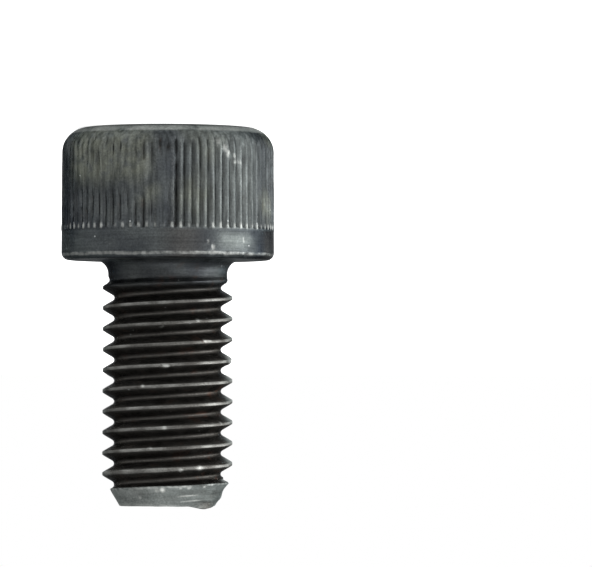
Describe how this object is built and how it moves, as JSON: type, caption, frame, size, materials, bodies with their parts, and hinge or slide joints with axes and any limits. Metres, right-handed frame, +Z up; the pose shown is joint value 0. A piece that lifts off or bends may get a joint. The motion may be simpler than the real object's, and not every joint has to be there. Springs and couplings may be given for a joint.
{
  "type": "hex socket cap screw",
  "caption": "Cap screw with a cylindrical knurled head, a hexagonal socket, a short coarse-threaded shank and a chamfered tip, black oxide finish.",
  "frame": {"origin": "on the table and on the screw's axis, in the middle of the flat face of the head, on which the screw stands", "axes": "+Z up, along the screw's axis from the head to the tip; -Y is the side that the picture shows, there with the head at the top; a corner of the hexagon points to +X"},
  "size_m": [0.013, 0.013, 0.023],
  "materials": {
    "black_oxide_steel": "black oxide, oiled"
  },
  "bodies": {
    "root": {"cap_screw": "black_oxide_steel"}
  },
  "joints": []
}
